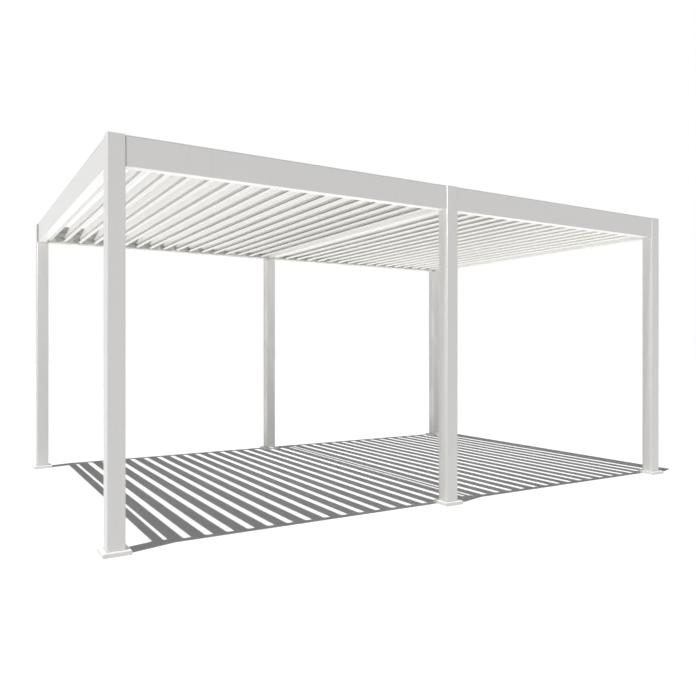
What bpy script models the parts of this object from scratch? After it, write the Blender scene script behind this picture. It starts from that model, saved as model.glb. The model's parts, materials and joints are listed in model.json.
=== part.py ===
# Louvered pergola. Six square posts carry a beam frame with a middle beam, and each of the two bays between
# them is roofed by louver blades that turn on pins in rails along the front and back beams.
# Units are metres. X runs along the front, Y from front to back and Z up, and the origin is the middle of
# the footprint at ground level.
import math

import bpy
import bmesh
from mathutils import Matrix, Vector

# Overall size, over the posts
frame_length = 5.366
frame_depth = 3.637
frame_height = 2.577

# Gap kept between pieces that touch
seat_gap = 0.0003

# Posts: square aluminium tube, closed on top
post_size = 0.110
post_wall = 0.003
post_corner_radius = 0.004
corner_steps = 3

# Feet: a cover plate round the foot of the post, with a spigot that goes up into the tube
foot_size = 0.175
foot_height = 0.027
foot_chamfer = 0.003
foot_wall = 0.004
spigot_height = 0.070
spigot_wall = 0.006
spigot_clearance = 0.0005

# Beams: a two-chamber box with a drip ledge and lip along the inner foot
beam_height = 0.187
beam_drop = 0.007
beam_setback = 0.010
beam_thickness = 0.050
beam_wall = 0.003
beam_chamfer = 0.0015
ledge_reach = 0.020
ledge_thickness = 0.004
lip_height = 0.008
lip_thickness = 0.003

# Middle beam: a flat tube between the two bays
middle_beam_thickness = 0.0216
middle_beam_height = 0.168
middle_beam_wall = 0.002

# Pivot rails, screwed to the inner faces of the front and back beams
rail_thickness = 0.008
rail_height = 0.040
pin_hole_clearance = 0.00025
round_sides = 10

# Louver blades
louvers_per_bay = 17
louver_overlap = 0.0074
rim_clearance = 0.007
tip_clearance = 0.005
end_clearance = 0.005
swing_clearance = 0.014
rim_share = 0.47
face_above_pivot = 0.012
base_below_pivot = 0.022
rim_step = 0.005
gutter_width = 0.035
nose_reach = 0.0135
nose_thickness = 0.006
blade_wall = 0.002
blade_chamfer = 0.002
cap_thickness = 0.003
pin_radius = 0.006
pin_end_gap = 0.001
weep_hole_radius = 0.003
rest_angle = math.radians(67)

# Levels and places worked out from the sizes above
half_length = frame_length / 2
half_depth = frame_depth / 2
beam_top = frame_height - beam_drop
beam_bottom = beam_top - beam_height
inner_face = beam_setback + beam_thickness
bay_clear = half_length - inner_face - middle_beam_thickness / 2
louver_pitch = (bay_clear - louver_overlap - rim_clearance - tip_clearance) / louvers_per_bay
blade_chord = louver_pitch + louver_overlap
rim_reach = blade_chord * rim_share
tip_reach = blade_chord - rim_reach
pivot_level = beam_bottom + lip_height + swing_clearance + math.hypot(rim_reach, base_below_pivot)
blade_inset = inner_face + seat_gap + rail_thickness + end_clearance
blade_length = frame_depth - 2 * blade_inset
pin_hole_radius = (pin_radius + pin_hole_clearance) / math.cos(math.pi / round_sides)


def make_material(name, colour, roughness, metallic):
    material = bpy.data.materials.new(name)
    material.use_nodes = True
    shader = material.node_tree.nodes["Principled BSDF"]
    shader.inputs["Base Color"].default_value = (*colour, 1.0)
    shader.inputs["Roughness"].default_value = roughness
    shader.inputs["Metallic"].default_value = metallic
    return material


def add_object(name, mesh, place=(0, 0, 0), turn=(0, 0, 0)):
    piece = bpy.data.objects.new(name, mesh)
    bpy.context.scene.collection.objects.link(piece)
    piece.location = place
    piece.rotation_euler = turn
    return piece


def give_material(piece, colour, roughness=0.45, metallic=0.0):
    # Pieces may share a mesh, so each one's own material sits on the object's slot.
    if not piece.data.materials:
        piece.data.materials.append(None)
    piece.material_slots[0].link = "OBJECT"
    piece.material_slots[0].material = make_material(piece.name + "_finish", colour, roughness, metallic)


def lay_point(pair, axis, along):
    first, second = pair
    if axis == "X":
        return Vector((along, first, second))
    if axis == "Y":
        return Vector((first, along, second))
    return Vector((first, second, along))


def prism_mesh(name, loops, axis, start, end):
    # A flat section, its first loop the outline and the others holes, filled and drawn out along an axis.
    bm = bmesh.new()
    edges = []
    for loop in loops:
        corners = [bm.verts.new(lay_point(pair, axis, start)) for pair in loop]
        for index, corner in enumerate(corners):
            edges.append(bm.edges.new((corner, corners[(index + 1) % len(corners)])))
    bmesh.ops.triangle_fill(bm, use_beauty=True, use_dissolve=False, edges=edges)
    drawn = bmesh.ops.extrude_face_region(bm, geom=list(bm.faces))
    moved = [item for item in drawn["geom"] if isinstance(item, bmesh.types.BMVert)]
    bmesh.ops.translate(bm, verts=moved, vec=lay_point((0, 0), axis, end - start))
    bmesh.ops.recalc_face_normals(bm, faces=list(bm.faces))
    mesh = bpy.data.meshes.new(name)
    bm.to_mesh(mesh)
    bm.free()
    return mesh


def box_loop(low_first, high_first, low_second, high_second):
    return [(low_first, low_second), (high_first, low_second), (high_first, high_second), (low_first, high_second)]


def round_loop(centre, radius, sides):
    steps = [math.tau * index / sides for index in range(sides)]
    return [(centre[0] + radius * math.cos(step), centre[1] + radius * math.sin(step)) for step in steps]


def rounded_square_loop(size, radius, steps):
    half = size / 2 - radius
    points = []
    for quarter, (side_x, side_y) in enumerate(((1, 1), (-1, 1), (-1, -1), (1, -1))):
        for step in range(steps + 1):
            turn = math.pi / 2 * (quarter + step / steps)
            points.append((side_x * half + radius * math.cos(turn), side_y * half + radius * math.sin(turn)))
    return points


def combine(name, base_mesh, steps):
    # Applies Boolean steps, each an operation and a mesh, and returns the finished mesh.
    base = add_object(name, base_mesh)
    tools = []
    for operation, mesh in steps:
        tool = add_object(name + "_tool", mesh)
        tool.hide_render = True
        tool.display_type = "WIRE"
        change = base.modifiers.new(operation.lower(), "BOOLEAN")
        change.operation = operation
        change.solver = "EXACT"
        change.object = tool
        tools.append(tool)
    shown = base.evaluated_get(bpy.context.evaluated_depsgraph_get())
    finished = bpy.data.meshes.new_from_object(shown)
    finished.name = name
    for piece in tools + [base]:
        bpy.data.objects.remove(piece, do_unlink=True)
    return finished


def post_mesh(name, notches):
    # A square tube, open at the foot. Above the beams' underside it is notched on its inner side, so that
    # the blades and rails pass. A notch is the low corner of the plan area cut away, in the post's own frame.
    far = post_size
    reach = post_size / 2
    outline = rounded_square_loop(post_size, post_corner_radius, corner_steps)
    hollow = reach - post_wall
    room = prism_mesh("hollow", [box_loop(-hollow, hollow, -hollow, hollow)], "Z",
                      -far, frame_height - post_wall)
    hollow_cuts = []
    outer_cuts = []
    for low_x, low_y in notches:
        outer_cuts.append(("DIFFERENCE", prism_mesh(
            "notch", [box_loop(low_x, far, low_y, far)], "Z", beam_bottom, frame_height + far)))
        hollow_cuts.append(("DIFFERENCE", prism_mesh(
            "notch", [box_loop(low_x - post_wall, far, low_y - post_wall, far)], "Z",
            beam_bottom - post_wall, frame_height + far)))
    inside = combine("hollow", room, hollow_cuts)
    body = prism_mesh(name, [outline], "Z", foot_height + seat_gap, frame_height)
    return combine(name, body, outer_cuts + [("DIFFERENCE", inside)])


def foot_mesh():
    # A chamfered cover with a hollow underside, a solid middle under the tube and a hollow spigot inside it.
    half = foot_size / 2
    lower = prism_mesh("foot", [box_loop(-half, half, -half, half)], "Z", 0.0, foot_height)
    bm = bmesh.new()
    bm.from_mesh(lower)
    bmesh.ops.dissolve_limit(bm, angle_limit=0.01, verts=list(bm.verts), edges=list(bm.edges))
    upper_edges = [edge for edge in bm.edges if all(v.co.z > foot_height / 2 for v in edge.verts)]
    side_edges = [edge for edge in bm.edges if abs(edge.verts[0].co.z - edge.verts[1].co.z) > foot_height / 2]
    bmesh.ops.bevel(bm, geom=upper_edges + side_edges, offset=foot_chamfer, segments=2, profile=0.5,
                    affect="EDGES", offset_type="OFFSET")
    bmesh.ops.recalc_face_normals(bm, faces=list(bm.faces))
    bm.to_mesh(lower)
    bm.free()
    core = post_size / 2
    room = half - foot_wall
    under = prism_mesh("under", [box_loop(-room, room, -room, room), box_loop(-core, core, -core, core)], "Z",
                       -foot_height, foot_height - foot_wall)
    outside = post_size / 2 - post_wall - spigot_clearance
    inside = outside - spigot_wall
    sleeve = prism_mesh("sleeve", [box_loop(-outside, outside, -outside, outside)], "Z",
                        foot_height / 2, foot_height + spigot_height)
    bore = prism_mesh("bore", [box_loop(-inside, inside, -inside, inside)], "Z",
                      foot_height, foot_height + 2 * spigot_height)
    return combine("foot", lower, [("DIFFERENCE", under), ("UNION", sleeve), ("DIFFERENCE", bore)])


def beam_section():
    # The beam in section: depth inwards from the outer face, and height above the underside.
    lip_inner = beam_thickness + ledge_reach
    outline = [(beam_chamfer, 0.0), (lip_inner, 0.0), (lip_inner, lip_height),
               (lip_inner - lip_thickness, lip_height), (lip_inner - lip_thickness, ledge_thickness),
               (beam_thickness, ledge_thickness), (beam_thickness, beam_height - beam_chamfer),
               (beam_thickness - beam_chamfer, beam_height), (beam_chamfer, beam_height),
               (0.0, beam_height - beam_chamfer), (0.0, beam_chamfer)]
    web = beam_height / 2
    low_chamber = box_loop(beam_wall, beam_thickness - beam_wall, beam_wall, web - beam_wall / 2)
    high_chamber = box_loop(beam_wall, beam_thickness - beam_wall, web + beam_wall / 2, beam_height - beam_wall)
    return [outline, low_chamber, high_chamber]


def beam_mesh(name, length):
    # Drawn along X with its outer face on the plane Y = 0 and its inner side towards +Y.
    return prism_mesh(name, beam_section(), "X", -length / 2, length / 2)


def middle_beam_mesh(length):
    half = middle_beam_thickness / 2
    outline = box_loop(-half, half, 0.0, middle_beam_height)
    inner = half - middle_beam_wall
    chamber = box_loop(-inner, inner, middle_beam_wall, middle_beam_height - middle_beam_wall)
    return prism_mesh("beam_middle", [outline, chamber], "Y", -length / 2, length / 2)


def blade_outline():
    # The blade in section when closed: X across the blade from its pivot, Z up. The rain gutter lies along
    # the rim side, one step below the face, and the nose is a flat lip that laps over the next blade's gutter.
    floor = -base_below_pivot + blade_wall
    gutter_side = gutter_width + blade_wall - rim_reach
    nose_low = face_above_pivot - nose_thickness
    box_side = tip_reach - nose_reach
    return [(-rim_reach, face_above_pivot - rim_step),
            (-rim_reach, -base_below_pivot + blade_chamfer),
            (-rim_reach + blade_chamfer, -base_below_pivot),
            (box_side - blade_chamfer, -base_below_pivot),
            (box_side, -base_below_pivot + blade_chamfer),
            (box_side, nose_low),
            (tip_reach, nose_low),
            (tip_reach, face_above_pivot),
            (gutter_side, face_above_pivot),
            (gutter_side, floor),
            (-rim_reach + blade_wall, floor),
            (-rim_reach + blade_wall, face_above_pivot - rim_step)]


def blade_hollow():
    # The closed box of the blade, one wall in from its outside on every side.
    left = gutter_width + 2 * blade_wall - rim_reach
    right = tip_reach - nose_reach - blade_wall
    return box_loop(left, right, -base_below_pivot + blade_wall, face_above_pivot - blade_wall)


def blade_mesh():
    # One blade along Y about its pivot line, closed by end caps that carry the pins. Weep holes in the caps
    # let the box drain.
    half = blade_length / 2
    pin_end = half + end_clearance + rail_thickness + seat_gap - pin_end_gap
    weep_place = (tip_reach - nose_reach - 4 * weep_hole_radius, -base_below_pivot / 2)
    body = prism_mesh("blade", [blade_outline()], "Y", -half, half)
    room = prism_mesh("room", [blade_hollow()], "Y", -half + cap_thickness, half - cap_thickness)
    weep = prism_mesh("weep", [round_loop(weep_place, weep_hole_radius, round_sides)], "Y", -2 * half, 2 * half)
    steps = [("DIFFERENCE", room), ("DIFFERENCE", weep)]
    for side in (-1, 1):
        pin = prism_mesh("pin", [round_loop((0, 0), pin_radius, round_sides)], "Y",
                         side * (half - cap_thickness / 2), side * pin_end)
        steps.append(("UNION", pin))
    return combine("blade", body, steps)


def pivot_places(bay):
    # X of each blade's pivot. Both bays close the same way, so both count from their left side.
    left = inner_face - half_length if bay == "left" else middle_beam_thickness / 2
    first = left + rim_clearance + rim_reach
    return [first + index * louver_pitch for index in range(louvers_per_bay)]


def rail_mesh(name, bay):
    # A flat strip with a round hole for each blade's pin, in the plane of the beam's inner face.
    places = pivot_places(bay)
    low = inner_face - half_length if bay == "left" else middle_beam_thickness / 2
    high = low + bay_clear
    outline = box_loop(low + seat_gap, high - seat_gap, -rail_height / 2, rail_height / 2)
    holes = [round_loop((place, 0), pin_hole_radius, round_sides) for place in places]
    return prism_mesh(name, [outline] + holes, "Y", 0.0, rail_thickness)


def build_posts_and_feet():
    notch = inner_face - post_size / 2
    corner = post_mesh("post_corner", [(notch, notch)])
    middle = post_mesh("post_middle", [(-post_size, notch)])
    foot = foot_mesh()
    side_x = half_length - post_size / 2
    side_y = half_depth - post_size / 2
    places = {
        "front_left": (-side_x, -side_y, 0, corner),
        "front_right": (side_x, -side_y, 90, corner),
        "back_right": (side_x, side_y, 180, corner),
        "back_left": (-side_x, side_y, 270, corner),
        "front_middle": (0.0, -side_y, 0, middle),
        "back_middle": (0.0, side_y, 180, middle),
    }
    for name, (x, y, turn, mesh) in places.items():
        post = add_object("post_" + name, mesh, (x, y, 0), (0, 0, math.radians(turn)))
        give_material(post, (0.60, 0.60, 0.59))
        cover = add_object("foot_" + name, foot, (x, y, 0))
        give_material(cover, (0.72, 0.72, 0.71))


def build_beams():
    front_length = half_length - 1.5 * post_size - 2 * seat_gap
    side_length = frame_depth - 2 * post_size - 2 * seat_gap
    front_mesh = beam_mesh("beam_long", front_length)
    side_mesh = beam_mesh("beam_side", side_length)
    bay_middle = (half_length - post_size / 2) / 2
    edge_x = half_length - beam_setback
    edge_y = half_depth - beam_setback
    placed = [
        ("beam_front_left", front_mesh, (-bay_middle, -edge_y), 0),
        ("beam_front_right", front_mesh, (bay_middle, -edge_y), 0),
        ("beam_back_left", front_mesh, (-bay_middle, edge_y), 180),
        ("beam_back_right", front_mesh, (bay_middle, edge_y), 180),
        ("beam_side_left", side_mesh, (-edge_x, 0), 270),
        ("beam_side_right", side_mesh, (edge_x, 0), 90),
    ]
    for name, mesh, (x, y), turn in placed:
        beam = add_object(name, mesh, (x, y, beam_bottom), (0, 0, math.radians(turn)))
        give_material(beam, (0.60, 0.60, 0.59))
    middle_length = frame_depth - 2 * inner_face - 2 * seat_gap
    middle = add_object("beam_middle", middle_beam_mesh(middle_length), (0, 0, beam_top - middle_beam_height))
    give_material(middle, (0.60, 0.60, 0.59))


def build_rails():
    for bay in ("left", "right"):
        mesh = rail_mesh("rail_" + bay, bay)
        front = -half_depth + inner_face + seat_gap
        back = half_depth - inner_face - seat_gap - rail_thickness
        for side, y in (("front", front), ("back", back)):
            rail = add_object("rail_" + side + "_" + bay, mesh, (0, y, pivot_level))
            give_material(rail, (0.45, 0.45, 0.45), 0.5)


def build_louvers():
    mesh = blade_mesh()
    for bay in ("left", "right"):
        for number, x in enumerate(pivot_places(bay), start=1):
            blade = add_object(f"louver_{bay}_{number:02d}", mesh, (x, 0, pivot_level), (0, -rest_angle, 0))
            give_material(blade, (0.70, 0.70, 0.68))


for old in list(bpy.data.objects):
    bpy.data.objects.remove(old, do_unlink=True)
build_posts_and_feet()
build_beams()
build_rails()
build_louvers()
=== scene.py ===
import json
import math
import bmesh
import bpy
import numpy as np
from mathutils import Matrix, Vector


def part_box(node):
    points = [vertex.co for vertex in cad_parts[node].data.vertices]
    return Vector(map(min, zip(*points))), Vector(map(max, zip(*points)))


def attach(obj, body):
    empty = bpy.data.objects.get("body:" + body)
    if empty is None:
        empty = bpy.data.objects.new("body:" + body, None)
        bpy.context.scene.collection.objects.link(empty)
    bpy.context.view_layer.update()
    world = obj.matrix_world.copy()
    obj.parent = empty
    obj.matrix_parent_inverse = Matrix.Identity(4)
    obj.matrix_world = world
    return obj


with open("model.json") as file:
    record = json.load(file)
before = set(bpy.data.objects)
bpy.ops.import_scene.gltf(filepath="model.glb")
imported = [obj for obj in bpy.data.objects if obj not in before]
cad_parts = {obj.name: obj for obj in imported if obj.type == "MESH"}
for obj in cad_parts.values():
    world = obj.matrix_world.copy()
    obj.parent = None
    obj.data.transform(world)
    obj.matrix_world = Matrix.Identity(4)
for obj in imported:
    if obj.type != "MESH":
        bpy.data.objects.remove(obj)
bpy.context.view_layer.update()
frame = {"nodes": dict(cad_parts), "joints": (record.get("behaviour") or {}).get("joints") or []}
print("frame loaded,", len(frame["nodes"]), "nodes")

# Helpers for shader nodes


def addLink(tree, source, target):
    tree.links.new(source, target)


def addMath(tree, kind, first, second=0.0, third=None):
    # A Math node; each value is a number or another node's output.
    node = tree.nodes.new("ShaderNodeMath")
    node.operation = kind
    for slot, value in enumerate((first, second, third)):
        if value is None:
            continue
        if isinstance(value, (int, float)):
            node.inputs[slot].default_value = value
        else:
            addLink(tree, value, node.inputs[slot])
    return node.outputs[0]


def addNoise(tree, place, scale, detail, roughness=0.5):
    node = tree.nodes.new("ShaderNodeTexNoise")
    node.inputs["Scale"].default_value = scale
    node.inputs["Detail"].default_value = detail
    node.inputs["Roughness"].default_value = roughness
    addLink(tree, place, node.inputs["Vector"])
    return node.outputs["Fac"]


def addStretch(tree, place, stretch):
    # The same place with each axis drawn out or pressed together.
    node = tree.nodes.new("ShaderNodeMapping")
    node.inputs["Scale"].default_value = stretch
    addLink(tree, place, node.inputs["Vector"])
    return node.outputs["Vector"]


def addRamp(tree, value, low, high):
    # Nought below low, one above high and a smooth step between.
    node = tree.nodes.new("ShaderNodeMapRange")
    node.interpolation_type = "SMOOTHSTEP"
    node.inputs["From Min"].default_value = low
    node.inputs["From Max"].default_value = high
    addLink(tree, value, node.inputs["Value"])
    return node.outputs["Result"]


def addMix(tree, factor, first, second):
    # A colour mix; each colour is three numbers or another node's output.
    node = tree.nodes.new("ShaderNodeMix")
    node.data_type = "RGBA"
    for name, value in (("Factor_Float", factor), ("A_Color", first), ("B_Color", second)):
        socket = next(item for item in node.inputs if item.identifier == name)
        if isinstance(value, tuple):
            socket.default_value = (*value, 1.0)
        elif isinstance(value, (int, float)):
            socket.default_value = value
        else:
            addLink(tree, value, socket)
    return next(item for item in node.outputs if item.identifier == "Result_Color")


# Camera and daylight

cameraSettings = {"place": (-3.5362, -6.0809, 1.2593), "turn": (90.0, 0.0, -30.946), "lens": 35.015,
                  "sensor": 36.0, "shift": (-0.0007, 0.0014), "reach": 200.0}
sunSettings = {"heading": (0.131, 0.037, -1.0), "height": 8.0, "strength": 2.6, "floorStrength": 3.1,
               "spread": 0.3}
softSide = {"place": (-9.0, 1.0, 2.2), "aim": (0.0, 0.0, 1.2), "size": (7.0, 3.5), "power": 62.0}
cornerGlint = {"place": (-12.4, -14.8, 7.0), "aim": (0.0, 0.0, 1.5), "size": (2.1, 2.1), "power": 15000.0}
postBounce = {"place": (0.0, 0.0, 0.02), "size": (5.0, 3.4), "power": 7.0, "spread": 70.0}
beamBounce = dict(postBounce, power=42.0, spread=140.0)
leftBounce = {"place": (-3.0, 6.0, 0.02), "size": (22.0, 22.0), "power": 225.0}
rightBounce = dict(leftBounce, power=435.0)
backGlow = {"place": (0.0, -7.0, 0.9), "aim": (0.0, 1.75, 2.4), "size": (9.0, 1.5), "power": 220.0}
skySettings = {"light": (0.25, 0.25, 0.255), "backdrop": (1.0, 1.0, 1.0)}
floorSettings = {"reach": 60.0, "albedo": (0.52, 0.52, 0.52), "lift": 0.02}


def seenDirectly(tree):
    # One for camera, glossy and transmission rays, and nought for the diffuse rays that light the object.
    path = tree.nodes.new("ShaderNodeLightPath")
    seen = addMath(tree, "MAXIMUM", path.outputs["Is Camera Ray"], path.outputs["Is Glossy Ray"])
    return addMath(tree, "MAXIMUM", seen, path.outputs["Is Transmission Ray"])


def makeCamera(settings):
    # The view that the photograph was taken from, found from the corners of the six posts.
    data = bpy.data.cameras.new("photoCamera")
    data.lens = settings["lens"]
    data.sensor_width = settings["sensor"]
    data.shift_x, data.shift_y = settings["shift"]
    data.clip_end = settings["reach"]
    camera = bpy.data.objects.new("photoCamera", data)
    camera.location = settings["place"]
    camera.rotation_euler = [math.radians(angle) for angle in settings["turn"]]
    bpy.context.scene.collection.objects.link(camera)
    bpy.context.scene.camera = camera


def addLamp(name, kind, place, heading):
    data = bpy.data.lights.new(name, kind)
    lamp = bpy.data.objects.new(name, data)
    lamp.location = place
    lamp.rotation_mode = "QUATERNION"
    lamp.rotation_quaternion = Vector(heading).to_track_quat("-Z", "Y")
    bpy.context.scene.collection.objects.link(lamp)
    return lamp


def addPanel(name, settings):
    # A flat rectangle of light. One without an aim lies on the floor and faces up, in place of the sunlight
    # that the ground throws back.
    heading = Vector(settings["aim"]) - Vector(settings["place"]) if "aim" in settings else (0.0, 0.0, 1.0)
    panel = addLamp(name, "AREA", settings["place"], heading)
    panel.data.shape = "RECTANGLE"
    panel.data.size, panel.data.size_y = settings["size"]
    panel.data.energy = settings["power"]
    panel.data.spread = math.radians(settings.get("spread", 180.0))
    panel.visible_camera = False
    return panel


def addSun(name, strength):
    sun = addLamp(name, "SUN", (0.0, 0.0, sunSettings["height"]), sunSettings["heading"])
    sun.data.energy = strength
    sun.data.angle = math.radians(sunSettings["spread"])
    return sun


def makeLamps():
    # The high sun lights everything, and the floor sun adds to the floor alone. What the other lamps light
    # is set once all the pieces are made.
    addSun("highSun", sunSettings["strength"])
    lamps = {"floor": addSun("floorSun", sunSettings["floorStrength"]),
             "side": addPanel("softSide", softSide),
             "glint": addPanel("cornerGlint", cornerGlint)}
    lamps["glint"].visible_diffuse = False   # it adds shine alone, mostly on rounded corners
    lamps["ground"] = [addPanel("postBounce", postBounce), addPanel("beamBounce", beamBounce),
                       addPanel("leftBounce", leftBounce), addPanel("rightBounce", rightBounce)]
    lamps["back"] = addPanel("backGlow", backGlow)
    return lamps


def makeSky():
    # An even dim light for the object, and plain white wherever the sky is seen directly.
    world = bpy.data.worlds.new("studioSky")
    bpy.context.scene.world = world
    world.use_nodes = True
    tree = world.node_tree
    tree.nodes.clear()
    lit = tree.nodes.new("ShaderNodeBackground")
    lit.inputs["Color"].default_value = (*skySettings["light"], 1.0)
    shown = tree.nodes.new("ShaderNodeBackground")
    shown.inputs["Color"].default_value = (*skySettings["backdrop"], 1.0)
    blend = tree.nodes.new("ShaderNodeMixShader")
    out = tree.nodes.new("ShaderNodeOutputWorld")
    addLink(tree, seenDirectly(tree), blend.inputs[0])
    addLink(tree, lit.outputs[0], blend.inputs[1])
    addLink(tree, shown.outputs[0], blend.inputs[2])
    addLink(tree, blend.outputs[0], out.inputs["Surface"])


def makeFloor():
    # A flat square; its matte face keeps the shadow, and a little is added where it is seen directly.
    reach = floorSettings["reach"]
    mesh = bpy.data.meshes.new("studioFloor")
    mesh.from_pydata([(-reach, -reach, 0), (reach, -reach, 0), (reach, reach, 0), (-reach, reach, 0)], [],
                     [(0, 1, 2, 3)])
    floor = bpy.data.objects.new("studioFloor", mesh)
    bpy.context.scene.collection.objects.link(floor)
    material = bpy.data.materials.new("studioFloor")
    material.use_nodes = True
    tree = material.node_tree
    tree.nodes.clear()
    matte = tree.nodes.new("ShaderNodeBsdfDiffuse")
    matte.inputs["Color"].default_value = (*floorSettings["albedo"], 1.0)
    glow = tree.nodes.new("ShaderNodeEmission")
    strength = addMath(tree, "MULTIPLY", seenDirectly(tree), floorSettings["lift"])
    addLink(tree, strength, glow.inputs["Strength"])
    both = tree.nodes.new("ShaderNodeAddShader")
    out = tree.nodes.new("ShaderNodeOutputMaterial")
    addLink(tree, matte.outputs[0], both.inputs[0])
    addLink(tree, glow.outputs[0], both.inputs[1])
    addLink(tree, both.outputs[0], out.inputs["Surface"])
    mesh.materials.append(material)
    return floor


def lightOnly(lamp, targets):
    # The lamp lights only the targets, and everything still throws its shadow there.
    lit = bpy.data.collections.new(lamp.name + "Lit")
    for target in targets:
        lit.objects.link(target)
    lamp.light_linking.receiver_collection = lit


bpy.context.scene.view_settings.view_transform = "Standard"
makeCamera(cameraSettings)
lamps = makeLamps()
makeSky()
lightOnly(lamps["floor"], [makeFloor()])
print("camera, light and floor made")

# Shader groups. Each noise is given as its scale, its detail and, where that isn't a half, its roughness.

powderLook = {"cloud": (2.3, 3.0), "mottle": (38.0, 2.0), "shares": (0.7, 0.3), "dim": (0.40, 0.39, 0.36),
              "peel": (620.0, 1.5, 0.4), "grit": (150.0, 2.0), "gritMiddle": 0.5, "gritSpread": 0.16}
dieLook = {"fine": (420.0, 2.0, 0.6), "broad": (60.0, 1.0), "broadShare": 0.6}
weatherLook = {"upward": (0.55, 0.95), "dustNoise": (9.0, 5.0, 0.6), "dustSpan": (0.32, 0.70),
               "runStretch": (26.0, 26.0, 0.9), "runNoise": (1.0, 3.0, 0.6), "runSpan": (0.56, 0.74)}


def startGroup(name, inputs, outputs):
    group = bpy.data.node_groups.new(name, "ShaderNodeTree")
    for label, kind in inputs:
        group.interface.new_socket(label, in_out="INPUT", socket_type=kind)
    for label, kind in outputs:
        group.interface.new_socket(label, in_out="OUTPUT", socket_type=kind)
    return group, group.nodes.new("NodeGroupInput"), group.nodes.new("NodeGroupOutput")


def makePowderGroup():
    # Baked powder: slow drift in tone, a fine orange peel, and tiny changes in gloss.
    group, given, made = startGroup(
        "powderCoat",
        [("Place", "NodeSocketVector"), ("Tone", "NodeSocketColor"), ("Drift", "NodeSocketFloat"),
         ("Gloss", "NodeSocketFloat")],
        [("Color", "NodeSocketColor"), ("Roughness", "NodeSocketFloat"), ("Height", "NodeSocketFloat")])
    place = given.outputs["Place"]
    broad, fine = powderLook["shares"]
    cloud = addMath(group, "MULTIPLY", addNoise(group, place, *powderLook["cloud"]), broad)
    mottle = addMath(group, "MULTIPLY", addNoise(group, place, *powderLook["mottle"]), fine)
    lift = addMath(group, "ADD", cloud, mottle)
    shade = addMath(group, "MULTIPLY", addMath(group, "SUBTRACT", 1.0, lift), given.outputs["Drift"])
    addLink(group, addMix(group, shade, given.outputs["Tone"], powderLook["dim"]), made.inputs["Color"])
    peel = addNoise(group, place, *powderLook["peel"])
    grit = addMath(group, "SUBTRACT", addNoise(group, place, *powderLook["grit"]), powderLook["gritMiddle"])
    gloss = addMath(group, "MULTIPLY_ADD", grit, powderLook["gritSpread"], given.outputs["Gloss"])
    addLink(group, gloss, made.inputs["Roughness"])
    addLink(group, peel, made.inputs["Height"])
    return group


def makeDieGroup():
    # Faint lines that an extrusion die leaves along a profile; Place comes already drawn out along them.
    group, given, made = startGroup("dieLines", [("Place", "NodeSocketVector")],
                                    [("Height", "NodeSocketFloat")])
    fine = addNoise(group, given.outputs["Place"], *dieLook["fine"])
    broad = addNoise(group, given.outputs["Place"], *dieLook["broad"])
    addLink(group, addMath(group, "MULTIPLY_ADD", broad, dieLook["broadShare"], fine), made.inputs["Height"])
    return group


def makeWeatherGroup():
    # Dust on faces that look up, and rain marks down upright faces, each broken up by noise.
    group, given, made = startGroup(
        "weather", [("Place", "NodeSocketVector"), ("Facing", "NodeSocketVector")],
        [("Dust", "NodeSocketFloat"), ("Rain", "NodeSocketFloat")])
    split = group.nodes.new("ShaderNodeSeparateXYZ")
    addLink(group, given.outputs["Facing"], split.inputs[0])
    upward = addRamp(group, split.outputs["Z"], *weatherLook["upward"])
    settled = addRamp(group, addNoise(group, given.outputs["Place"], *weatherLook["dustNoise"]),
                      *weatherLook["dustSpan"])
    addLink(group, addMath(group, "MULTIPLY", upward, settled), made.inputs["Dust"])
    steep = addMath(group, "SUBTRACT", 1.0, addMath(group, "ABSOLUTE", split.outputs["Z"]))
    drawn = addStretch(group, given.outputs["Place"], weatherLook["runStretch"])
    runs = addRamp(group, addNoise(group, drawn, *weatherLook["runNoise"]), *weatherLook["runSpan"])
    addLink(group, addMath(group, "MULTIPLY", steep, runs), made.inputs["Rain"])
    return group


def makeBladeGroup():
    # Turns a place into the blade's own section: Across runs over the closed blade from its pivot, and Height
    # stands off it. Blades repeat at one pitch, so the place is first folded back to the nearest pivot.
    group, given, made = startGroup(
        "bladeSection",
        [("Place", "NodeSocketVector"), ("First", "NodeSocketFloat"), ("Pitch", "NodeSocketFloat"),
         ("Level", "NodeSocketFloat"), ("Lean", "NodeSocketFloat")],
        [("Across", "NodeSocketFloat"), ("Height", "NodeSocketFloat"), ("Along", "NodeSocketFloat")])
    split = group.nodes.new("ShaderNodeSeparateXYZ")
    addLink(group, given.outputs["Place"], split.inputs[0])
    steps = addMath(group, "DIVIDE", addMath(group, "SUBTRACT", split.outputs["X"], given.outputs["First"]),
                    given.outputs["Pitch"])
    nearest = addMath(group, "FLOOR", addMath(group, "ADD", steps, 0.5))
    aside = addMath(group, "MULTIPLY", addMath(group, "SUBTRACT", steps, nearest), given.outputs["Pitch"])
    above = addMath(group, "SUBTRACT", split.outputs["Z"], given.outputs["Level"])
    cosine = addMath(group, "COSINE", given.outputs["Lean"])
    sine = addMath(group, "SINE", given.outputs["Lean"])
    across = addMath(group, "MULTIPLY_ADD", aside, cosine, addMath(group, "MULTIPLY", above, sine))
    height = addMath(group, "SUBTRACT", addMath(group, "MULTIPLY", above, cosine),
                     addMath(group, "MULTIPLY", aside, sine))
    addLink(group, across, made.inputs["Across"])
    addLink(group, height, made.inputs["Height"])
    addLink(group, split.outputs["Y"], made.inputs["Along"])
    return group


powderGroup = makePowderGroup()
dieGroup = makeDieGroup()
weatherGroup = makeWeatherGroup()
bladeGroup = makeBladeGroup()
print("shader groups made")

# Materials

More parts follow.
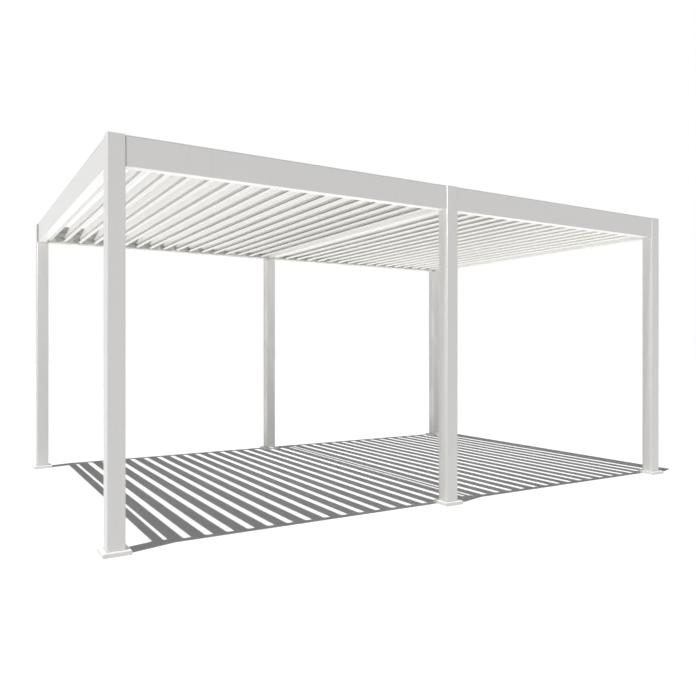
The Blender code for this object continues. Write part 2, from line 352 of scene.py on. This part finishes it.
bladeJoints = {bay: [joint for joint in frame["joints"] if joint["child"].startswith("louver_" + bay)]
               for bay in ("left", "right")}
pivotsX = {bay: np.array([joint["pos_m"][0] for joint in joints]) for bay, joints in bladeJoints.items()}
pivotLevel = bladeJoints["left"][0]["pos_m"][2]
louverPitch = float(np.diff(pivotsX["left"]).mean())
restLean = math.radians(67.0)   # how far the blades stand open in the photograph
seatGap = 0.0003   # between a solid and the one that carries it
bladeEndGap = 0.0050   # between a blade's end and the rail
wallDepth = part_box("rail_back_left")[1][1] + seatGap   # Y of the back beam's inner face
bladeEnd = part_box("rail_back_left")[0][1] - bladeEndGap   # Y of a blade's end face
nowhere = (9.0, 10.0)   # a span that starts beyond the object, so what it steers stays even


def useGroup(tree, group, **values):
    # A shader group placed in a material; each value is a number, a colour or another node's output.
    node = tree.nodes.new("ShaderNodeGroup")
    node.node_tree = group
    for name, value in values.items():
        if isinstance(value, tuple):
            node.inputs[name].default_value = (*value, 1.0)
        elif isinstance(value, (int, float)):
            node.inputs[name].default_value = value
        else:
            addLink(tree, value, node.inputs[name])
    return node.outputs


def startMaterial(name):
    # A new material with its node tree, its shader, and the place and the facing of a point on the object.
    material = bpy.data.materials.new(name)
    material.use_nodes = True
    tree = material.node_tree
    place = tree.nodes.new("ShaderNodeTexCoord")
    return material, tree, tree.nodes["Principled BSDF"], place.outputs["Object"], place.outputs["Normal"]


def addBump(tree, shader, height, strength, distance):
    # Fine relief: distance is the depth in metres between a height of nought and one.
    bump = tree.nodes.new("ShaderNodeBump")
    bump.inputs["Strength"].default_value = strength
    bump.inputs["Distance"].default_value = distance
    addLink(tree, height, bump.inputs["Height"])
    addLink(tree, bump.outputs["Normal"], shader.inputs["Normal"])


frameFinish = {"tone": (0.850, 0.843, 0.825), "drift": 0.07, "gloss": 0.30, "peel": 0.00003, "die": 0.35,
               "dustTone": (0.52, 0.49, 0.43), "dust": 0.30, "rain": 0.07, "dirtRough": 0.5,
               "splashHeight": 0.22, "splashNoise": (60.0, 4.0), "splashSpan": (0.45, 0.7), "splash": 0.10,
               "trough": (0.0, 0.0, 0.0), "troughTone": (0.30, 0.305, 0.27), "troughNoise": (14.0, 4.0),
               "troughSpan": (0.1, 0.6), "troughDirt": 0.90, "lee": nowhere, "leeDirt": 0.23}


def makeCoatMaterial(name, settings, stretch):
    # White powder coat on a drawn profile. Stretch presses the die lines' noise flat along the profile. Dust,
    # rain marks and splashes near the ground make up the dirt, and painted shade darkens a post's sides
    # behind the front edge. The shade band is the inner side of a long beam, given as its depth in Y and two
    # levels, where painted shade, mottled by noise, darkens the coat.
    material, tree, shader, place, facing = startMaterial(name)
    coat = useGroup(tree, powderGroup, Place=place, Tone=settings["tone"], Drift=settings["drift"],
                    Gloss=settings["gloss"])
    lines = useGroup(tree, dieGroup, Place=addStretch(tree, place, stretch))
    worn = useGroup(tree, weatherGroup, Place=place, Facing=facing)
    split = tree.nodes.new("ShaderNodeSeparateXYZ")
    addLink(tree, place, split.inputs[0])
    low = addMath(tree, "SUBTRACT", 1.0, addRamp(tree, split.outputs["Z"], 0.0, settings["splashHeight"]))
    spots = addRamp(tree, addNoise(tree, place, *settings["splashNoise"]), *settings["splashSpan"])
    splash = addMath(tree, "MULTIPLY", low, spots)
    darkening = addMath(tree, "MULTIPLY", worn["Dust"], settings["dust"])
    darkening = addMath(tree, "MULTIPLY_ADD", worn["Rain"], settings["rain"], darkening)
    darkening = addMath(tree, "MULTIPLY_ADD", splash, settings["splash"], darkening)
    # Painted shade: a post's sides are mixed towards the dust tone behind the front edge.
    lee = addRamp(tree, split.outputs["Y"], *settings["lee"])
    darkening = addMath(tree, "MULTIPLY_ADD", lee, settings["leeDirt"], darkening)
    colour = addMix(tree, darkening, coat["Color"], settings["dustTone"])
    # Painted shade: a band on a long beam's inner side, between two levels, mottled by noise.
    reach, floorLevel, topLevel = settings["trough"]
    inner = addMath(tree, "LESS_THAN", addMath(tree, "ABSOLUTE", split.outputs["Y"]), reach)
    inner = addMath(tree, "MULTIPLY", inner, addMath(tree, "GREATER_THAN", split.outputs["Z"], floorLevel))
    inner = addMath(tree, "MULTIPLY", inner, addMath(tree, "LESS_THAN", split.outputs["Z"], topLevel))
    shadeMottle = addRamp(tree, addNoise(tree, place, *settings["troughNoise"]), *settings["troughSpan"])
    bandShade = addMath(tree, "MULTIPLY", addMath(tree, "MULTIPLY", shadeMottle, inner), settings["troughDirt"])
    addLink(tree, addMix(tree, bandShade, colour, settings["troughTone"]), shader.inputs["Base Color"])
    darkening = addMath(tree, "ADD", darkening, bandShade)
    rough = addMath(tree, "MULTIPLY_ADD", darkening, settings["dirtRough"], coat["Roughness"])
    addLink(tree, rough, shader.inputs["Roughness"])
    height = addMath(tree, "MULTIPLY_ADD", lines["Height"], settings["die"], coat["Height"])
    addBump(tree, shader, height, 1.0, settings["peel"])
    return material


bladeFinish = {"tone": (0.870, 0.862, 0.838), "drift": 0.06, "gloss": 0.40, "peel": 0.00003, "die": 0.45,
               "dustTone": (0.52, 0.49, 0.43), "dust": 0.16, "rain": 0.05,
               "channel": (-0.0740, -0.0375), "channelFloor": -0.0212, "channelTop": -0.009,
               "channelTone": (0.42, 0.41, 0.37), "channelDirt": 0.94, "thinning": nowhere,
               "siltStretch": (40.0, 6.0, 40.0), "siltNoise": (1.0, 4.0), "siltSpan": (0.0, 0.6),
               "siltRough": 0.35, "capDepth": 0.0031, "capTone": (0.74, 0.74, 0.72)}


def makeBladeMaterial(name, settings, bay):
    # The frame's coat, with painted shade in the rain channel, deepest at its floor and streaked along the
    # blade by noise, and plain plastic caps on the two ends. Over one span of X in the settings the painted
    # shade fades away.
    material, tree, shader, place, facing = startMaterial(name)
    section = useGroup(tree, bladeGroup, Place=place, First=float(pivotsX[bay][0]), Pitch=louverPitch,
                       Level=pivotLevel, Lean=restLean)
    coat = useGroup(tree, powderGroup, Place=place, Tone=settings["tone"], Drift=settings["drift"],
                    Gloss=settings["gloss"])
    ruled = tree.nodes.new("ShaderNodeCombineXYZ")
    addLink(tree, section["Across"], ruled.inputs["X"])
    addLink(tree, section["Height"], ruled.inputs["Y"])
    lines = useGroup(tree, dieGroup, Place=ruled.outputs[0])
    worn = useGroup(tree, weatherGroup, Place=place, Facing=facing)
    # Painted shade in the rain channel, darkest at its floor.
    left, right = settings["channel"]
    inside = addMath(tree, "MULTIPLY", addMath(tree, "GREATER_THAN", section["Across"], left),
                     addMath(tree, "LESS_THAN", section["Across"], right))
    inside = addMath(tree, "MULTIPLY", inside,
                     addMath(tree, "GREATER_THAN", section["Height"], settings["channelFloor"]))
    drawn = addStretch(tree, place, settings["siltStretch"])
    channelShade = addRamp(tree, addNoise(tree, drawn, *settings["siltNoise"]), *settings["siltSpan"])
    deep = addMath(tree, "SUBTRACT", 1.0, addRamp(tree, section["Height"], settings["channelFloor"],
                                                  settings["channelTop"]))
    channelShade = addMath(tree, "MULTIPLY", channelShade, deep)
    split = tree.nodes.new("ShaderNodeSeparateXYZ")
    addLink(tree, place, split.inputs[0])
    kept = addMath(tree, "SUBTRACT", 1.0, addRamp(tree, split.outputs["X"], *settings["thinning"]))
    channelShade = addMath(tree, "MULTIPLY", channelShade, kept)
    channelShade = addMath(tree, "MULTIPLY", addMath(tree, "MULTIPLY", inside, channelShade), settings["channelDirt"])
    darkening = addMath(tree, "MULTIPLY", worn["Dust"], settings["dust"])
    darkening = addMath(tree, "MULTIPLY_ADD", worn["Rain"], settings["rain"], darkening)
    colour = addMix(tree, darkening, coat["Color"], settings["dustTone"])
    colour = addMix(tree, channelShade, colour, settings["channelTone"])
    capped = addMath(tree, "GREATER_THAN", addMath(tree, "ABSOLUTE", section["Along"]),
                     bladeEnd - settings["capDepth"])
    addLink(tree, addMix(tree, capped, colour, settings["capTone"]), shader.inputs["Base Color"])
    rough = addMath(tree, "MULTIPLY_ADD", channelShade, settings["siltRough"], coat["Roughness"])
    addLink(tree, rough, shader.inputs["Roughness"])
    height = addMath(tree, "MULTIPLY_ADD", lines["Height"], settings["die"], coat["Height"])
    addBump(tree, shader, height, 1.0, settings["peel"])
    return material


def dressNode(node, material):
    # A solid from the frame gets one material.
    node.data.materials.clear()
    node.data.materials.append(material)


# Stretches for the die lines, which run along each profile. Of the spans below, edge and rise place the band
# of painted shade on a long beam's inner side, and the last is where painted shade darkens a post's sides.
upright, alongX, alongY, evenly = (1.0, 1.0, 0.02), (0.02, 1.0, 1.0), (1.0, 0.02, 1.0), (1.0, 1.0, 1.0)
shadeSpans = {"edge": 0.0010, "rise": 0.0225, "lee": (0.018, 0.045)}
feetFinish = dict(frameFinish, tone=(0.842, 0.837, 0.822), gloss=0.38, splash=0.08, dust=0.10)
railFinish = dict(frameFinish, tone=(0.56, 0.565, 0.53), gloss=0.36, drift=0.10)
stripFinish = dict(frameFinish, tone=(0.70, 0.695, 0.68), gloss=0.36)
# The back posts' coat is toned darker as painted shade, for the less light that reaches them.
backShadeFinish = dict(frameFinish, tone=(0.815, 0.810, 0.792))
# The right bay's blades: their painted channel shade reaches less high, is lighter, and fades away towards
# +X.
rightShadeFinish = dict(bladeFinish, channelTop=-0.014, channelDirt=0.90, thinning=(0.3, 2.0))


def rearShadeSpan(name):
    # The span of Y, a little behind a post's front edge, over which painted shade darkens its sides.
    return tuple(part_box(name)[0][1] + step for step in shadeSpans["lee"])


def finishNodes():
    beamFoot, beamTop = (corner[2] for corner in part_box("beam_back_left"))
    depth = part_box("rail_back_left")[1][1] + shadeSpans["edge"]
    longFinish = dict(frameFinish, trough=(depth, beamFoot + shadeSpans["rise"], beamTop - shadeSpans["edge"]))
    frontPost = dict(frameFinish, lee=rearShadeSpan("post_front_left"))
    backPost = dict(backShadeFinish, lee=rearShadeSpan("post_back_left"))
    coats = {
        "nearPost": makeCoatMaterial("nearPostCoat", frameFinish, upright),
        "frontPost": makeCoatMaterial("frontPostCoat", frontPost, upright),
        "backPost": makeCoatMaterial("backPostCoat", backPost, upright),
        "beamX": makeCoatMaterial("longBeamCoat", longFinish, alongX),
        "beamY": makeCoatMaterial("sideBeamCoat", frameFinish, alongY),
        "foot": makeCoatMaterial("footCoat", feetFinish, evenly),
        "rail": makeCoatMaterial("railCoat", railFinish, alongX),
        "stripX": makeCoatMaterial("longStripCoat", stripFinish, alongX),
        "stripY": makeCoatMaterial("sideStripCoat", stripFinish, alongY),
        "left": makeBladeMaterial("leftBladeCoat", bladeFinish, "left"),
        "right": makeBladeMaterial("rightBladeCoat", rightShadeFinish, "right"),
    }
    for name, node in frame["nodes"].items():
        if name.startswith("post"):
            kind = "nearPost" if name == "post_front_left" else name.split("_")[1] + "Post"
            dressNode(node, coats[kind])
        elif name.startswith("foot"):
            dressNode(node, coats["foot"])
        elif name.startswith("rail"):
            dressNode(node, coats["rail"])
        elif name.startswith("louver"):
            dressNode(node, coats[name.split("_")[1]])
        elif name in ("beam_side_left", "beam_side_right", "beam_middle"):
            dressNode(node, coats["beamY"])
        else:
            dressNode(node, coats["beamX"])
    return coats


coats = finishNodes()
print("finishes made")

# Materials of the small pieces

mouldedLook = {"dustRough": 0.3, "relief": 0.8}


def makeMouldedMaterial(name, settings):
    # Rubber, sealant or plastic: an even tone with a slow drift, some dust on top and a faint grain.
    material, tree, shader, place, facing = startMaterial(name)
    coat = useGroup(tree, powderGroup, Place=place, Tone=settings["tone"], Drift=settings["drift"],
                    Gloss=settings["gloss"])
    worn = useGroup(tree, weatherGroup, Place=place, Facing=facing)
    dust = addMath(tree, "MULTIPLY", worn["Dust"], settings["dust"])
    addLink(tree, addMix(tree, dust, coat["Color"], settings["dustTone"]), shader.inputs["Base Color"])
    rough = addMath(tree, "MULTIPLY_ADD", dust, mouldedLook["dustRough"], coat["Roughness"])
    addLink(tree, rough, shader.inputs["Roughness"])
    addBump(tree, shader, coat["Height"], mouldedLook["relief"], settings["grain"])
    return material


def makeSteelMaterial(name, settings):
    # Stainless steel, brushed by turning, with a thin film of grey where rain has dried.
    material, tree, shader, place = startMaterial(name)[:4]
    shader.inputs["Metallic"].default_value = 1.0
    brushed = useGroup(tree, dieGroup, Place=addStretch(tree, place, settings["stretch"]))
    film = addRamp(tree, addNoise(tree, place, *settings["filmNoise"]), *settings["filmSpan"])
    addLink(tree, addMix(tree, film, settings["tone"], settings["filmTone"]), shader.inputs["Base Color"])
    rough = addMath(tree, "MULTIPLY_ADD", film, settings["filmRough"], settings["gloss"])
    addLink(tree, rough, shader.inputs["Roughness"])
    addBump(tree, shader, brushed["Height"], settings["relief"], settings["grain"])
    return material


rubberFinish = {"tone": (0.045, 0.046, 0.048), "drift": 0.05, "gloss": 0.58, "dust": 0.35,
                "dustTone": (0.40, 0.38, 0.34), "grain": 0.00002}
sealantFinish = {"tone": (0.47, 0.47, 0.46), "drift": 0.12, "gloss": 0.50, "dust": 0.30,
                 "dustTone": (0.36, 0.33, 0.28), "grain": 0.00003}
lipFinish = {"tone": (0.60, 0.60, 0.58), "drift": 0.10, "gloss": 0.55, "dust": 0.20,
             "dustTone": (0.42, 0.40, 0.35), "grain": 0.00002}
nylonFinish = {"tone": (0.11, 0.11, 0.115), "drift": 0.06, "gloss": 0.44, "dust": 0.25,
               "dustTone": (0.40, 0.38, 0.34), "grain": 0.00002}
steelFinish = {"tone": (0.66, 0.66, 0.65), "gloss": 0.27, "filmTone": (0.42, 0.41, 0.39),
               "filmNoise": (55.0, 3.0), "filmSpan": (0.40, 0.75), "filmRough": 0.22,
               "stretch": (1.0, 0.05, 1.0), "relief": 0.5, "grain": 0.00001}
rubber = makeMouldedMaterial("blackRubber", rubberFinish)
sealant = makeMouldedMaterial("greySealant", sealantFinish)
lipRubber = makeMouldedMaterial("greyLipRubber", lipFinish)
nylon = makeMouldedMaterial("darkNylon", nylonFinish)
steel = makeSteelMaterial("stainless", steelFinish)
print("small materials made")

# Surfaces


def gridFaces(rows, columns, closed):
    # Four corner numbers a face, where point (r, c) of the grid has the number r times columns plus c. The
    # columns always run round to their start, and the rows do where closed is true.
    row = np.arange(rows if closed else rows - 1)[:, None]
    column = np.arange(columns)[None, :]
    nextRow = (row + 1) % rows
    nextColumn = (column + 1) % columns
    corners = [row * columns + column, row * columns + nextColumn, nextRow * columns + nextColumn,
               nextRow * columns + column]
    return np.stack(corners, axis=-1).reshape(-1, 4)


def carryProfile(path, plane, profile, closed=False):
    # Point = path + m times the profile's first number + plane times its second. The mitre m at a corner is
    # (n1 + n2) / (1 + n1 . n2), where n1 and n2 are the side directions of the stretches before and after.
    path = np.asarray(path, float)
    plane = np.asarray(plane, float)
    ahead = np.roll(path, -1, axis=0) - path
    if not closed:
        ahead[-1] = ahead[-2]
    ahead /= np.linalg.norm(ahead, axis=1)[:, None]
    side = np.cross(ahead, plane)
    before = np.roll(side, 1, axis=0)
    if not closed:
        before[0] = side[0]
    mitre = (side + before) / (1.0 + (side * before).sum(axis=1))[:, None]
    profile = np.asarray(profile, float)
    points = (path[:, None, :] + mitre[:, None, :] * profile[None, :, :1]
              + plane[None, None, :] * profile[None, :, 1:])
    return points.reshape(-1, 3), gridFaces(len(path), len(profile), closed)


def turnProfile(radii, heights, sides, flats):
    # Point = (r cos u, r sin u, h) over the turns u. In the rows that flats marks, r is a hexagon's: the
    # given radius over cos(v), where v is the turn from the middle of the nearest flat.
    turns = np.arange(sides) * math.tau / sides
    flatTurn = math.tau / 6
    bend = np.cos((turns + flatTurn / 2) % flatTurn - flatTurn / 2)
    radii = np.asarray(radii, float)[:, None] * np.where(np.asarray(flats)[:, None], 1.0 / bend, 1.0)
    heights = np.asarray(heights, float)[:, None] * np.ones(sides)
    points = np.stack([radii * np.cos(turns), radii * np.sin(turns), heights], axis=-1)
    return points.reshape(-1, 3), gridFaces(len(radii), sides, False)


def ringProfile(inner, outer, height, sides):
    # A flat ring whose section is a box: four rows of (r cos u, r sin u, h), closed round the section.
    turns = np.arange(sides) * math.tau / sides
    radii = np.array([inner, outer, outer, inner])[:, None]
    heights = np.array([0.0, 0.0, height, height])[:, None] * np.ones(sides)
    points = np.stack([radii * np.cos(turns), radii * np.sin(turns), heights], axis=-1)
    return points.reshape(-1, 3), gridFaces(4, sides, True)


def setOut(points, faces, places, towards):
    # Copies of one turned form: point = place + x p + y q + z n, where n is the level way they face and p, q
    # and n stand square to each other.
    normal = np.asarray(towards, float)
    first = np.cross(normal, (0.0, 0.0, 1.0))
    first /= np.linalg.norm(first)
    basis = np.stack([first, np.cross(normal, first), normal])
    places = np.asarray(places, float)
    moved = places[:, None, :] + (points @ basis)[None, :, :]
    steps = (np.arange(len(places)) * len(points))[:, None, None]
    return moved.reshape(-1, 3), (faces[None, :, :] + steps).reshape(-1, faces.shape[1])


def joinForms(forms):
    # One form out of several: the points in a row, and each form's corner numbers moved on by what came
    # before it.
    counts = np.cumsum([0] + [len(points) for points, faces in forms[:-1]])
    return (np.concatenate([points for points, faces in forms]),
            np.concatenate([faces + count for (points, faces), count in zip(forms, counts)]))


def makePiece(name, form, material, body, sharp=35.0):
    # Open ends and rims are closed with flat faces, and every normal is turned outwards.
    points, faces = form
    mesh = bpy.data.meshes.new(name)
    mesh.from_pydata(points.tolist(), [], faces.tolist())
    work = bmesh.new()
    work.from_mesh(mesh)
    bmesh.ops.holes_fill(work, edges=[edge for edge in work.edges if edge.is_boundary], sides=0)
    bmesh.ops.recalc_face_normals(work, faces=list(work.faces))
    work.to_mesh(mesh)
    work.free()
    mesh.polygons.foreach_set("use_smooth", np.ones(len(mesh.polygons), dtype=bool))
    mesh.set_sharp_from_angle(angle=math.radians(sharp))
    mesh.materials.append(material)
    piece = bpy.data.objects.new(name, mesh)
    bpy.context.scene.collection.objects.link(piece)
    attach(piece, body)


# Gaskets where the beams meet the posts

gasket = {"width": 0.0022, "proud": 0.0005, "bedded": 0.0002, "round": 0.0002, "railRoom": 0.0015,
          "wideJoint": ("beam_front_left", -1), "wideWidth": 0.0046}
filler = {"reach": 0.0080, "width": 0.0022, "inset": 0.0015, "seat": 0.0001}
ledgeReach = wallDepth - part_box("beam_back_left")[0][1]   # how far the drip ledge stands out of a beam
outerBeams = sorted(name for name in frame["nodes"] if name.startswith("beam") and name != "beam_middle")


def bandSection(width, proud, bedded, rounded):
    # A flat band, bedded a little in the joint and standing a little proud of it, with its outer edges eased.
    return [(-bedded, 0.0), (proud - rounded, 0.0), (proud, rounded), (proud, width - rounded),
            (proud - rounded, width), (-bedded, width)]


def beamPath(low, high, outer, inner, stop):
    # Round the beam's end from its drip ledge: underside, outer face, top, and down the inner face to the
    # rail.
    ledge = inner + math.copysign(ledgeReach, inner - outer)
    return [(ledge, low), (outer, low), (outer, high), (inner, high), (inner, stop)]


def gasketWidth(name, end):
    # In the photograph one joint, beside the near post, stands wider than the rest. Its extra black width is
    # painted shade, for the shaded corner beside that post.
    return gasket["wideWidth"] if (name, end) == gasket["wideJoint"] else gasket["width"]


def gasketForm(name, end):
    # The band at one end of a beam. Its path is flat and lies on the end's own plane.
    (lowX, lowY, lowZ), (highX, highY, highZ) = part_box(name)
    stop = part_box("rail_back_left")[1][2] + gasket["railRoom"]
    width = gasketWidth(name, end)
    if highX - lowX > highY - lowY:
        outer, inner = (lowY, -wallDepth) if highY < 0 else (highY, wallDepth)
        place = lowX if end < 0 else highX - width
        path = [(place, across, level) for across, level in beamPath(lowZ, highZ, outer, inner, stop)]
        plane = (1.0, 0.0, 0.0)
    else:
        outer, inner = (lowX, highX - ledgeReach) if highX < 0 else (highX, lowX + ledgeReach)
        place = lowY if end < 0 else highY - width
        path = [(across, place, level) for across, level in beamPath(lowZ, highZ, outer, inner, stop)]
        plane = (0.0, 1.0, 0.0)
    section = bandSection(width, gasket["proud"], gasket["bedded"], gasket["round"])
    side = np.cross(np.subtract(path[2], path[1]), plane)
    middle = np.array([(lowX + highX) / 2, (lowY + highY) / 2, (lowZ + highZ) / 2])
    if side @ (np.array(path[1]) - middle) < 0:
        section = [(-across, upward) for across, upward in section]
    return carryProfile(path, plane, section)


def boxForm(low, high):
    # Eight corners of a box and its four sides; makePiece closes the two ends.
    corners = [(low[0], low[1]), (high[0], low[1]), (high[0], high[1]), (low[0], high[1])]
    points = np.array([(x, y, z) for z in (low[2], high[2]) for x, y in corners])
    return points, gridFaces(2, 4, False)


def fillerForm(name, end):
    # An upright strip in the corner between a side beam's outer face and the post that stands proud of it.
    (lowX, lowY, lowZ), (highX, highY, highZ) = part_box(name)
    edge = -1 if highX < 0 else 1
    face = lowX if edge < 0 else highX
    across = sorted((face + edge * filler["seat"], face + edge * filler["reach"]))
    along = (lowY, lowY + filler["width"]) if end < 0 else (highY - filler["width"], highY)
    low, high = lowZ + filler["inset"], highZ - filler["inset"]
    return boxForm((across[0], along[0], low), (across[1], along[1], high))


def addGaskets():
    # A band round both ends of each outer beam, and a filler beside both ends of each side beam.
    for name in outerBeams:
        label = name.replace("beam_", "")
        bands = [gasketForm(name, end) for end in (-1, 1)]
        makePiece("gasket_" + label, joinForms(bands), rubber, "frame")
        if "side" in name:
            fillers = [fillerForm(name, end) for end in (-1, 1)]
            makePiece("filler_" + label, joinForms(fillers), rubber, "frame")


# Cover strips on top of the outer beams

strip = {"seat": 0.0001, "height": 0.0066, "round": 0.0012, "bevel": 0.3, "endRoom": 0.0003}


def stripSection(width):
    # A low box whose two upper edges are eased, with one point on each edge between its ends.
    half, top, ease = width / 2, strip["height"], strip["round"]
    cut = strip["bevel"] * ease
    return [(-half, 0.0), (-half, top - ease), (-half + cut, top - cut), (-half + ease, top),
            (half - ease, top), (half - cut, top - cut), (half, top - ease), (half, 0.0)]


def addStrips():
    # Each strip lies between the gaskets of its beam and brings the beam's top up to the tops of the posts.
    for name in outerBeams:
        low, high = (np.array(corner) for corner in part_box(name))
        lengthwise, crosswise = (0, 1) if name.startswith(("beam_front", "beam_back")) else (1, 0)
        middle = (low + high) / 2
        outward = math.copysign(1.0, middle[crosswise])
        width = high[crosswise] - low[crosswise] - ledgeReach
        ends = []
        for end, corner in ((-1, low), (1, high)):
            place = middle.copy()
            place[2] = high[2] + strip["seat"]
            place[crosswise] += outward * ledgeReach / 2
            place[lengthwise] = corner[lengthwise] - end * (gasketWidth(name, end) + strip["endRoom"])
            ends.append(place)
        form = carryProfile(ends, (0.0, 0.0, 1.0), stripSection(width))
        coat = coats["stripX" if lengthwise == 0 else "stripY"]
        makePiece(name.replace("beam", "strip"), form, coat, "frame")


# Sealant round the foot of each post

bead = {"radius": 0.0030, "steps": 5, "cornerRadius": 0.0040, "cornerSteps": 5, "seat": 0.0001,
        "sharp": 50.0}


def squarePath(centre, half, radius, steps, level):
    # A square with rounded corners. Point = centre + the corner circle's middle + radius (cos u, sin u), with
    # u over each quarter turn.
    turns = np.linspace(0.0, math.pi / 2, steps)
    starts = np.arange(4) * math.pi / 2
    middles = (half - radius) * math.sqrt(2.0) * np.stack([np.cos(starts + math.pi / 4),
                                                           np.sin(starts + math.pi / 4)], axis=-1)
    sweep = starts[:, None] + turns[None, :]
    flat = middles[:, None, :] + radius * np.stack([np.cos(sweep), np.sin(sweep)], axis=-1)
    flat = flat.reshape(-1, 2) + np.asarray(centre)
    return np.column_stack([flat, np.full(len(flat), level)])


def addBaseBeads():
    # A cove in section: level on the foot, upright on the post, and hollow between, (1 - sin u, 1 - cos u).
    turns = np.linspace(0.0, math.pi / 2, bead["steps"])
    hollow = bead["radius"] * np.column_stack([1.0 - np.sin(turns), 1.0 - np.cos(turns)])
    section = np.concatenate([[(0.0, 0.0)], hollow]) + bead["seat"]
    for name in sorted(name for name in frame["nodes"] if name.startswith("post")):
        low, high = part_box(name)
        centre, half = ((low[0] + high[0]) / 2, (low[1] + high[1]) / 2), (high[0] - low[0]) / 2
        path = squarePath(centre, half, bead["cornerRadius"], bead["cornerSteps"], low[2])
        form = carryProfile(path, (0.0, 0.0, 1.0), section, closed=True)
        makePiece("bead_" + name.replace("post_", ""), form, sealant, "frame", bead["sharp"])


# Seals, cap screws and bushes of the blades

blade = {"rim": (-0.0742, 0.0070), "sealRadius": 0.0013, "sealSides": 10, "sealSetback": 0.0040}
screw = {"radius": 0.0030, "height": 0.0012, "socket": 0.0011, "depth": 0.0008, "sides": 18,
         "places": ((-0.0270, -0.0040), (0.0520, 0.0010), (0.0190, -0.0070))}
bush = {"inner": 0.0066, "outer": 0.0092, "height": 0.0018, "sides": 20}
railScrew = {"radius": 0.0040, "height": 0.0018, "socket": 0.0016, "depth": 0.0012, "sides": 18, "every": 2}
screwShares = {"shoulder": 0.55, "crown": 0.86, "lip": 1.04, "sink": 0.94}


def bladePlace(across, height, pivot, along):
    # A point of the closed blade's section, turned by the lean t about the pivot: across cos t - height sin t
    # sideways, and across sin t + height cos t upwards.
    cosine, sine = math.cos(restLean), math.sin(restLean)
    return (pivot + cosine * across - sine * height, along, pivotLevel + sine * across + cosine * height)


def screwForm(settings):
    # A low round head with a hexagon socket: up its side, in over the crown and down into the socket.
    radius, height = settings["radius"], settings["height"]
    socket, depth = settings["socket"], settings["depth"]
    radii = [radius, radius, radius * screwShares["crown"], socket * screwShares["lip"], socket, socket]
    heights = [0.0, height * screwShares["shoulder"], height, height, height * screwShares["sink"],
               height - depth]
    return turnProfile(radii, heights, settings["sides"], [False, False, False, True, True, True])


def addBladePieces():
    # A seal is a circle, radius (cos u, sin u), carried along the rim. Screws stand on both end caps.
    head = screwForm(screw)
    turns = np.arange(blade["sealSides"]) * math.tau / blade["sealSides"]
    section = blade["sealRadius"] * np.column_stack([np.cos(turns), np.sin(turns)])
    reach = bladeEnd - blade["sealSetback"]
    for bay in ("left", "right"):
        for number, pivot in enumerate(pivotsX[bay], start=1):
            body = "louver_%s_%02d" % (bay, number)
            path = [bladePlace(*blade["rim"], pivot, end * reach) for end in (-1.0, 1.0)]
            form = carryProfile(path, (1.0, 0.0, 0.0), section)
            makePiece("seal_%s_%02d" % (bay, number), form, lipRubber, body)
            ends = [setOut(*head, [bladePlace(*place, pivot, end * bladeEnd) for place in screw["places"]],
                           (0.0, end, 0.0)) for end in (-1.0, 1.0)]
            makePiece("cap_screws_%s_%02d" % (bay, number), joinForms(ends), steel, body)


def addRailPieces():
    # A bush round each pin, and a screw midway between pins, in every second gap.
    ring = ringProfile(bush["inner"], bush["outer"], bush["height"], bush["sides"])
    head = screwForm(railScrew)
    for bay in ("left", "right"):
        for side, end in (("front", 1.0), ("back", -1.0)):
            low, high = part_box("rail_%s_%s" % (side, bay))
            face = high[1] if end > 0 else low[1]
            outward = (0.0, end, 0.0)
            pins = [(pivot, face, pivotLevel) for pivot in pivotsX[bay]]
            makePiece("bushes_%s_%s" % (side, bay), setOut(*ring, pins, outward), nylon, "frame")
            between = (pivotsX[bay][:-1] + pivotsX[bay][1:]) / 2
            screws = [(place, face, pivotLevel) for place in between[::railScrew["every"]]]
            makePiece("rail_screws_%s_%s" % (side, bay), setOut(*head, screws, outward), steel, "frame")


addGaskets()
addStrips()
addBaseBeads()
addBladePieces()
addRailPieces()
print("small pieces made")

# Light shared out


def shareLight():
    # Each of the ground's four lamps lights one part, because more light comes up under the roof than on the
    # posts. Side and glint leave the blades out, and the back lamp lights the back beams alone.
    solid = [item for item in bpy.data.objects if item.type == "MESH" and item.name != "studioFloor"]
    onBeams = [item for item in solid if item.name.startswith("beam_")]
    kinds = ("louver_", "seal_", "cap_screws_")
    onBlades = {bay: [item for item in solid if item.name.startswith(tuple(kind + bay for kind in kinds))]
                for bay in ("left", "right")}
    rest = [item for item in solid if item not in onBeams + onBlades["left"] + onBlades["right"]]
    for lamp, targets in zip(lamps["ground"], (rest, onBeams, onBlades["left"], onBlades["right"])):
        lightOnly(lamp, targets)
    lightOnly(lamps["side"], rest + onBeams)
    lightOnly(lamps["glint"], rest + onBeams)
    lightOnly(lamps["back"], [item for item in onBeams if "back" in item.name])


shareLight()
print("light shared out")
